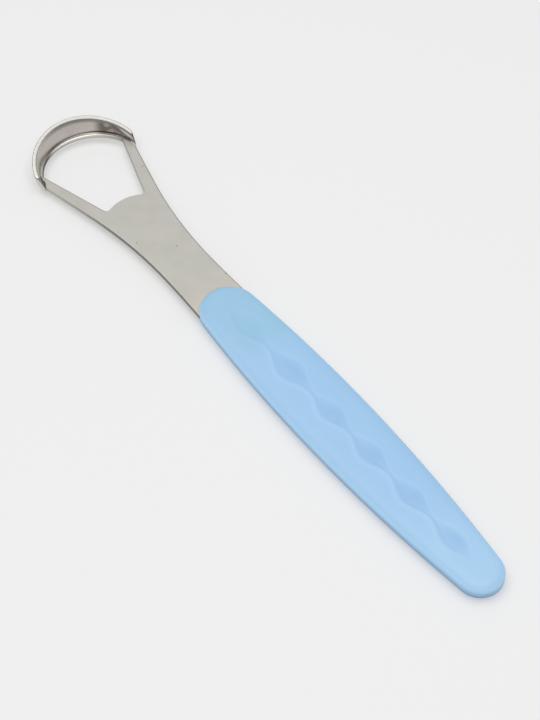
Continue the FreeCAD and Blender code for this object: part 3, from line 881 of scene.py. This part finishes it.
# %% Masks for the painted light and shade on the plastic, and for its tint over the steel
# A noise has a scale and a detail. A tint sets in at its first value and is full at its second: in mm across
# or from the tail, or, for the last three, by how far a face looks up.
BLUE_CLOUDS = (160.0, 3.0)
BLUE_GRAIN = (2600.0, 2.0)
NEAR_FROM = (-8.0, 8.0)
TAIL_FROM = (32.0, 4.0)
FAR_HALF_FROM = (1.2, -1.2)
OVER_STEEL_FROM = (72.0, 80.0)
OVER_STEEL_ACROSS = (7.0, 4.0)
TILT_FROM = (0.97, 0.4)
LOW_FROM = (0.15, -0.15)
LOW_UNTIL = (-0.85, -0.5)

soft_blue = Finish("soft_blue_plastic")
scoop = soft_blue.mark("scoop")
lip = soft_blue.mark("lip")
place = soft_blue.node("ShaderNodeTexCoord", out="Object")
along = soft_blue.axis(place, "X")
across = soft_blue.axis(place, "Y")
facing_up = soft_blue.axis(soft_blue.node("ShaderNodeNewGeometry", out="Normal"), "Z")
clouds = soft_blue.noise(place, *BLUE_CLOUDS)
grain = soft_blue.noise(place, *BLUE_GRAIN)


def along_zone(zero_from_tail, one_from_tail):
    return soft_blue.ramp(along, (tail_x + zero_from_tail) * MM, (tail_x + one_from_tail) * MM)


def across_zone(zero_at, one_at):
    return soft_blue.ramp(across, zero_at * MM, one_at * MM)


# Painted light: the near side is a little lighter.
painted_near_light = across_zone(*NEAR_FROM)
# Painted light: lighter towards the tail.
painted_tail_light = along_zone(*TAIL_FROM)
# Painted shade: the scoops are deeper on their far half.
far_half_shade = across_zone(*FAR_HALF_FROM)
over_steel = along_zone(*OVER_STEEL_FROM) * across_zone(*OVER_STEEL_ACROSS)
# Painted sheen: lighter where the roll-over tilts away from up.
painted_tilt_sheen = soft_blue.ramp(facing_up, *TILT_FROM)
# Painted shade: darker on the low flank, where the side turns under.
painted_low_shade = soft_blue.ramp(facing_up, *LOW_FROM) * soft_blue.ramp(facing_up, *LOW_UNTIL)
print("plastic masks:", len(soft_blue.tree.nodes), "nodes")

# %% Soft blue plastic
PLAIN_BLUE = colour(151, 192, 228)
CLOUDED_BLUE = colour(156, 195, 230)
# Painted light: the near side's lighter blue.
NEAR_LIGHT_BLUE, NEAR_SHARE = colour(167, 202, 232), 0.2
# Painted light: the tail's lighter blue.
TAIL_LIGHT_BLUE, TAIL_SHARE = colour(168, 206, 235), 0.5
# Painted shade: the deeper blue in the scoops, more on their far half.
SCOOP_SHADE_BLUE, SCOOP_NEAR_SHARE = colour(141, 184, 223), 0.25
# Painted highlight: the lighter blue on the lips beside the scoops.
LIP_HIGHLIGHT_BLUE, LIP_SHARE = colour(170, 207, 238), 0.3
OVER_STEEL_BLUE, OVER_STEEL_SHARE = colour(145, 191, 216), 0.6
# Painted sheen: the lighter blue on the roll-over.
TILTED_SHEEN_BLUE, TILTED_SHARE = colour(177, 218, 250), 0.9
# Painted shade: the dark blue on the low flank.
LOW_SHADE_BLUE, LOW_SHARE = colour(92, 126, 172), 0.7
PLASTIC_ROUGHNESS, CLOUD_ROUGHNESS = 0.44, 0.1
BLUE_GRAIN_STRENGTH, BLUE_GRAIN_DEPTH = 0.12, 0.02 * MM

layers = (
    (painted_near_light * NEAR_SHARE, NEAR_LIGHT_BLUE),
    (painted_tail_light * TAIL_SHARE, TAIL_LIGHT_BLUE),
    (scoop * (SCOOP_NEAR_SHARE + (1 - SCOOP_NEAR_SHARE) * far_half_shade), SCOOP_SHADE_BLUE),
    (lip * LIP_SHARE, LIP_HIGHLIGHT_BLUE),
    (over_steel * OVER_STEEL_SHARE, OVER_STEEL_BLUE),
    (painted_tilt_sheen * TILTED_SHARE, TILTED_SHEEN_BLUE),
    (painted_low_shade * LOW_SHARE, LOW_SHADE_BLUE),
)
blue = soft_blue.mix(clouds, PLAIN_BLUE, CLOUDED_BLUE)
for share, layer_blue in layers:
    blue = soft_blue.mix(share, blue, layer_blue)
soft_blue.close(
    {
        "Base Color": blue,
        "Roughness": PLASTIC_ROUGHNESS + CLOUD_ROUGHNESS * clouds,
        "Normal": soft_blue.bump(grain, BLUE_GRAIN_STRENGTH, BLUE_GRAIN_DEPTH),
    }
)
soft_blue.put_on(grip)
print("grip finish:", len(soft_blue.tree.nodes), "nodes")

# %% [markdown]
# ## The steel's finish
#
# The sheet has a fine satin face with a few dark specks in it. The wall is polished, and its deeper, cloudy
# grey is partly painted reflection; it is darkest in the bend, with painted shade, and toward its far end,
# with painted reflection. The punched edges are dull, with painted shade where they face the far side and a
# painted highlight where they face the handle. Those places were marked on the mesh while it was made, and
# the marks steer the recipe here.

# %% The steel's marks, clouds and grain
# Here too a noise has a scale and a detail, and the clouds have a roughness as well.
STEEL_CLOUDS = (220.0, 4.0, 0.6)
# The streaks mottle the painted reflection at the wall's far end.
STREAK_STRETCH = (260.0, 260.0, 480.0)
STREAKS = (1.0, 3.0)
STEEL_GRAIN = (3000.0, 2.0)

steel = Finish("satin_steel")
polish = steel.mark("polish")
crease_shade = steel.mark("crease_shade")
cut = steel.mark("cut")
lit = steel.mark("lit")
place = steel.node("ShaderNodeTexCoord", out="Object")
along = steel.axis(place, "X")
across = steel.axis(place, "Y")
facing_across = steel.axis(steel.node("ShaderNodeNewGeometry", out="Normal"), "Y")
clouds = steel.noise(place, *STEEL_CLOUDS)
stretched = steel.node("ShaderNodeMapping", {}, {"Vector": place, "Scale": STREAK_STRETCH})
streaks = steel.noise(stretched, *STREAKS)
grain = steel.noise(place, *STEEL_GRAIN)
print("steel masks:", len(steel.tree.nodes), "nodes")

# %% [markdown]
# The specks are tiny dark spots on the sheet. They could be modelled one by one, but flat cells scatter them
# without any list of places: a small circle round each cell's own point gives a speck, and only the cells
# with a high random colour, about one in six, keep theirs.

# %% Specks in the sheet
SPECK_CELLS = 150.0
SPECK_SIZE = (0.03, 0.015)
SPECK_CHANCE = (0.8, 0.86)

flat_cells = {"voronoi_dimensions": "2D"}
speck_places = {"Vector": place, "Scale": SPECK_CELLS}
speck_near = steel.node("ShaderNodeTexVoronoi", flat_cells, speck_places, out="Distance")
speck_pick = steel.node("ShaderNodeTexVoronoi", flat_cells, speck_places, out="Color")
speck_chance = steel.node("ShaderNodeSeparateColor", {}, {0: speck_pick}, out="Red")
specks = steel.ramp(speck_near, *SPECK_SIZE) * steel.ramp(speck_chance, *SPECK_CHANCE)
print("speck cells are %.1f mm wide" % (1 / SPECK_CELLS / MM))

# %% Satin steel, and the polished wall with painted reflection
SATIN_DARK, SATIN_LIGHT = colour(203, 201, 192), colour(219, 217, 209)
GRIP_WARM, GRIP_WARM_SHARE, GRIP_WARM_REACH = colour(226, 214, 198), 0.5, 6.0
SPECK_DARK, SPECK_SHARE = colour(84, 78, 72), 0.8
# The polished wall's deeper, cloudy grey is partly painted reflection, and its darker, streaked far end is
# painted reflection.
POLISHED_DARK, POLISHED_LIGHT = colour(180, 172, 166), colour(206, 199, 193)
FAR_REFLECTION_DARK, FAR_SHARE, FAR_LEAST = colour(100, 91, 85), 0.9, 0.4
FAR_FROM = (-6.4, -8.8)
STREAK_STEP = (0.38, 0.56)

mouth_x = tail_x + GRIP_LENGTH
beside_grip = steel.ramp(along, (mouth_x + GRIP_WARM_REACH) * MM, (mouth_x - GRIP_WARM_REACH) * MM)
satin = steel.mix(clouds, SATIN_DARK, SATIN_LIGHT)
satin = steel.mix(beside_grip * GRIP_WARM_SHARE, satin, GRIP_WARM)
satin = steel.mix(specks * SPECK_SHARE, satin, SPECK_DARK)
# Painted reflection: darker, in streaks, towards the wall's far end.
far_reflection = steel.ramp(across, FAR_FROM[0] * MM, FAR_FROM[1] * MM)
far_reflection = far_reflection * (FAR_LEAST + (1 - FAR_LEAST) * steel.ramp(streaks, *STREAK_STEP))
polished = steel.mix(clouds, POLISHED_DARK, POLISHED_LIGHT)
polished = steel.mix(far_reflection * FAR_SHARE, polished, FAR_REFLECTION_DARK)
tone = steel.mix(polish, satin, polished)
print("satin and polish:", len(steel.tree.nodes), "nodes")

# %% Painted shade and highlights, cut edges and the finished steel
CREASE_SHADE_DARK, CREASE_SHARE = colour(62, 57, 54), 0.85
# Cut edges that face the far side get painted shade, and lit ones a painted highlight.
CUT_DULL, CUT_SHADE_DARK, CUT_HIGHLIGHT = colour(124, 120, 116), colour(66, 62, 59), colour(250, 249, 244)
CUT_TURNS_AWAY = (0.0, -0.5)
STEEL_ROUGHNESS, STEEL_CLOUD_ROUGHNESS, POLISH_SMOOTHS = 0.34, 0.08, 0.16
STEEL_GRAIN_STRENGTH, STEEL_GRAIN_DEPTH = 0.1, 0.01 * MM

# Painted shade: the dark in the bend and beside the wall's ends.
tone = steel.mix(crease_shade * CREASE_SHARE, tone, CREASE_SHADE_DARK)
cut_and_shade_tone = steel.mix(steel.ramp(facing_across, *CUT_TURNS_AWAY), CUT_DULL, CUT_SHADE_DARK)
# Cut edges take their dull tone and painted shade; where lit, a painted highlight.
tone = steel.mix(cut * (1 - lit), tone, cut_and_shade_tone)
tone = steel.mix(cut * lit, tone, CUT_HIGHLIGHT)
steel.close(
    {
        "Base Color": tone,
        "Metallic": 1.0,
        "Roughness": STEEL_ROUGHNESS + STEEL_CLOUD_ROUGHNESS * clouds - POLISH_SMOOTHS * polish,
        "Normal": steel.bump(grain, STEEL_GRAIN_STRENGTH, STEEL_GRAIN_DEPTH),
    }
)
steel.put_on(blade)
print("steel finish:", len(steel.tree.nodes), "nodes")

# %% [markdown]
# ## Floor, light and camera
#
# The tool lies on a pale sheet inside a bright tent, so light comes evenly from all round. The floor glows a
# little, as a lit sheet does, and more so far away from the tool, where less of the lamp's light reaches it.

# %% The pale floor
FLOOR_SIZE = 40.0
FLOOR_DROP = 0.05 * MM
FLOOR_GREY = colour(235, 235, 235)
FLOOR_GLOW = 0.38
GLOW_GROWS = (0.3, 1.0)

floor_mesh = bpy.data.meshes.new("floor")
edge = FLOOR_SIZE / 2
corners = [(-edge, -edge, 0), (edge, -edge, 0), (edge, edge, 0), (-edge, edge, 0)]
floor_mesh.from_pydata(corners, [], [(0, 1, 2, 3)])
floor = bpy.data.objects.new("floor", floor_mesh)
floor.location.z = -FLOOR_DROP
bpy.context.collection.objects.link(floor)
pale = Finish("pale_floor")
paper = pale.node("ShaderNodeBsdfDiffuse", {}, {0: FLOOR_GREY})
glow = pale.node("ShaderNodeEmission", {}, {0: FLOOR_GREY})
spot = pale.node("ShaderNodeNewGeometry", out="Position")
distance = pale.node("ShaderNodeVectorMath", {"operation": "LENGTH"}, {0: spot}, out="Value")
glow_share = FLOOR_GLOW + (1 - FLOOR_GLOW) * pale.ramp(distance, *GLOW_GROWS)
surface = pale.node("ShaderNodeMixShader", {}, {0: glow_share, 1: paper, 2: glow})
pale.node("ShaderNodeOutputMaterial", {}, {0: surface})
pale.put_on(floor)
print("floor: %.1f m wide" % FLOOR_SIZE)

# %% [markdown]
# One large, soft lamp overhead gives the grip its quiet shadow. A dim panel stands beyond the head, where the
# flat steel mirrors it towards the camera. It lights the rest of the tool only a little.

# %% The tent's light
WHITE = (1, 1, 1, 1)
TENT_LIGHT = 0.45
scene = bpy.context.scene
scene.view_settings.view_transform = "Standard"
world = bpy.data.worlds.new("light_tent")
scene.world = world
world.use_nodes = True
tent = world.node_tree.nodes["Background"]
tent.inputs["Color"].default_value = WHITE
tent.inputs["Strength"].default_value = TENT_LIGHT


def soft_lamp(name, place, size, power):
    """A square lamp that faces the tool."""
    lamp = bpy.data.lights.new(name, "AREA")
    lamp.size = size
    lamp.energy = power
    stand = bpy.data.objects.new(name, lamp)
    stand.location = place
    stand.rotation_euler = (-stand.location).to_track_quat("-Z", "Y").to_euler()
    bpy.context.collection.objects.link(stand)


soft_lamp("overhead", place=(-0.08, 0.1, 0.8), size=0.9, power=5.3)
soft_lamp("panel_behind", place=(0.5, -0.36, 0.62), size=0.8, power=0.55)
print("light: tent, one soft lamp overhead and a pale panel behind")

# %% [markdown]
# The camera stands behind the grip's tail, on the near side, and looks down on the tool. Its place was worked
# out from the tool's outline, so the tool narrows towards the head as much as it should. A longer lens from
# further away would show it flatter.

# %% The camera
CAMERA_AT = Vector((-0.2083, 0.1482, 0.2989))
CAMERA_TO = Vector((-0.00644, 0.00092, 0.0023))
SENSOR_HEIGHT = 36
LENS = 90
NEAR_LIMIT = 0.01
camera = bpy.data.objects.new("camera", bpy.data.cameras.new("camera"))
camera.data.sensor_fit = "VERTICAL"
camera.data.sensor_height = SENSOR_HEIGHT
camera.data.lens = LENS
camera.data.clip_start = NEAR_LIMIT
camera.location = CAMERA_AT
camera.rotation_euler = (CAMERA_TO - CAMERA_AT).to_track_quat("-Z", "Y").to_euler()
bpy.context.collection.objects.link(camera)
scene.camera = camera
print("camera %.3f m from the tool" % (CAMERA_TO - CAMERA_AT).length)

# %% [markdown]
